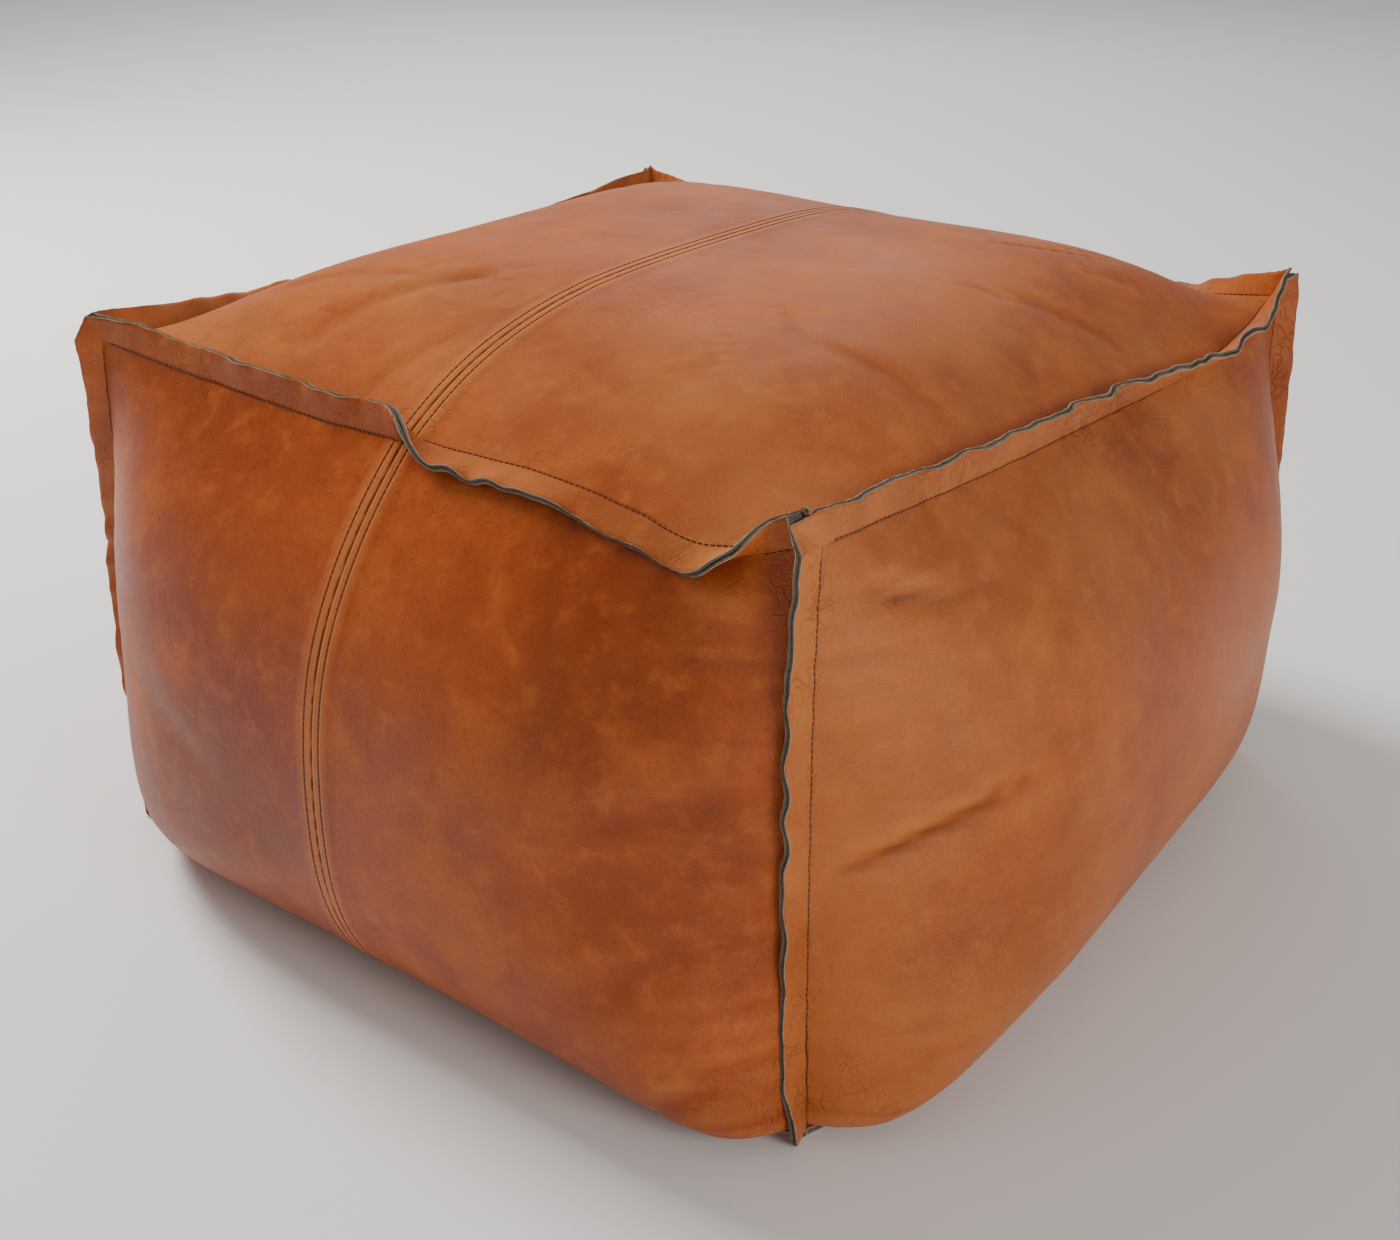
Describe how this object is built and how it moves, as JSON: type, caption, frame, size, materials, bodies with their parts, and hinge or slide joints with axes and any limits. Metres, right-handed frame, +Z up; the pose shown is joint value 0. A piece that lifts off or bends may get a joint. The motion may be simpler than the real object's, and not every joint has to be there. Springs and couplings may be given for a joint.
{
  "type": "leather floor pouf",
  "caption": "Square stuffed leather floor pouf with a domed seat, swelling sides and raw outside seam flanges.",
  "frame": {"origin": "centre of the base, on the floor", "axes": "+Z up, -Y is the front, with a flat seam down its middle, +X is the seamless right side"},
  "size_m": [0.6656, 0.6676, 0.3608],
  "materials": {
    "leather": "tan pull-up hide, mottled and waxed, with raw grey-brown cut edges",
    "thread": "waxed dark brown cord",
    "bag_cotton": "unbleached plain weave cotton",
    "stuffing": "loose cotton wadding",
    "zip_tape": "dark brown woven tape",
    "zip_metal": "aged brass, satin"
  },
  "bodies": {
    "cover": {"front_panel_left": "leather", "front_panel_right": "leather", "back_panel_left": "leather", "back_panel_right": "leather", "left_panel": "leather", "right_panel": "leather", "base_panel_front": "leather", "base_panel_back": "leather", "front_seam_stitching": "thread", "back_seam_stitching": "thread", "corner_stitching": "thread", "base_edge_stitching": "thread", "zip_stitching": "thread", "inner_bag": "bag_cotton", "filling": "stuffing", "zip_tape_front": "zip_tape", "zip_tape_back": "zip_tape", "zip_teeth_front": "zip_metal", "zip_teeth_back": "zip_metal", "zip_top_stops": "zip_metal", "zip_bottom_stop": "zip_metal"},
    "seat": {"top_panel_left": "leather", "top_panel_right": "leather", "top_seam_stitching": "thread", "top_edge_stitching": "thread"},
    "slider": {"zip_slider": "zip_metal"},
    "pull": {"zip_pull": "zip_metal"}
  },
  "joints": [
    {"name": "seat_press", "type": "slide", "parent": "cover", "child": "seat", "axis": [0, 0, -1], "range_m": [0, 0.06], "stiffness_N_per_m": 16000, "deforming": ["front_panel_left", "front_panel_right", "back_panel_left", "back_panel_right", "left_panel", "right_panel", "front_seam_stitching", "back_seam_stitching", "corner_stitching", "inner_bag", "filling"]},
    {"name": "zip_slide", "type": "slide", "parent": "cover", "child": "slider", "axis": [-1, 0, 0], "range_m": [0, 0.34], "deforming": ["zip_teeth_front", "zip_teeth_back"]},
    {"name": "pull_swing", "type": "hinge", "parent": "slider", "child": "pull", "pos_m": [0.172, 0, 0.0024], "axis": [0, -1, 0], "range_deg": [0, 180]}
  ]
}
